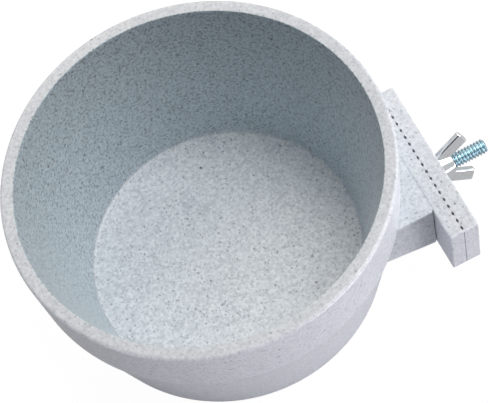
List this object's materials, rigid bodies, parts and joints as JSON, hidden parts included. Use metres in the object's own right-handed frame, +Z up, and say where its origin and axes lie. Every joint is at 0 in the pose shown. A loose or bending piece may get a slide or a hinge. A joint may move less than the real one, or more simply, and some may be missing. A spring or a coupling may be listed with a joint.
{
  "type": "cage water bowl",
  "caption": "Round speckled-plastic crock with a side arm and toothed clamp jaws that a bolt and wing nut tighten on cage bars.",
  "frame": {"origin": "centre of the flat foot, on the surface that the bowl stands on", "axes": "+Z up through the bowl's mouth, +X along the clamp bolt, from the bowl out through the bars, +Y along the row of bars"},
  "size_m": [0.1563, 0.13, 0.0655],
  "materials": {
    "speckled_plastic": "satin, with fine dark specks",
    "blue_zinc": "zinc plate with a blue tint",
    "bright_zinc": "bright zinc plate"
  },
  "bodies": {
    "bowl": {"bowl": "speckled_plastic", "bolt": "blue_zinc"},
    "clamp_jaw": {"clamp_jaw": "speckled_plastic"},
    "wing_nut": {"wing_nut": "bright_zinc"}
  },
  "joints": [
    {"name": "jaw_slide", "type": "slide", "parent": "bowl", "child": "clamp_jaw", "axis": [1, 0, 0], "range_m": [0, 0.0092]},
    {"name": "nut_spin", "type": "hinge", "parent": "clamp_jaw", "child": "wing_nut", "pos_m": [0.0765, -0.023, 0.033], "axis": [1, 0, 0], "range_deg": [0, 2940]}
  ],
  "couplings": [
    {"joint": "nut_spin", "follows": "jaw_slide", "rad_per_m": 5463.6}
  ]
}
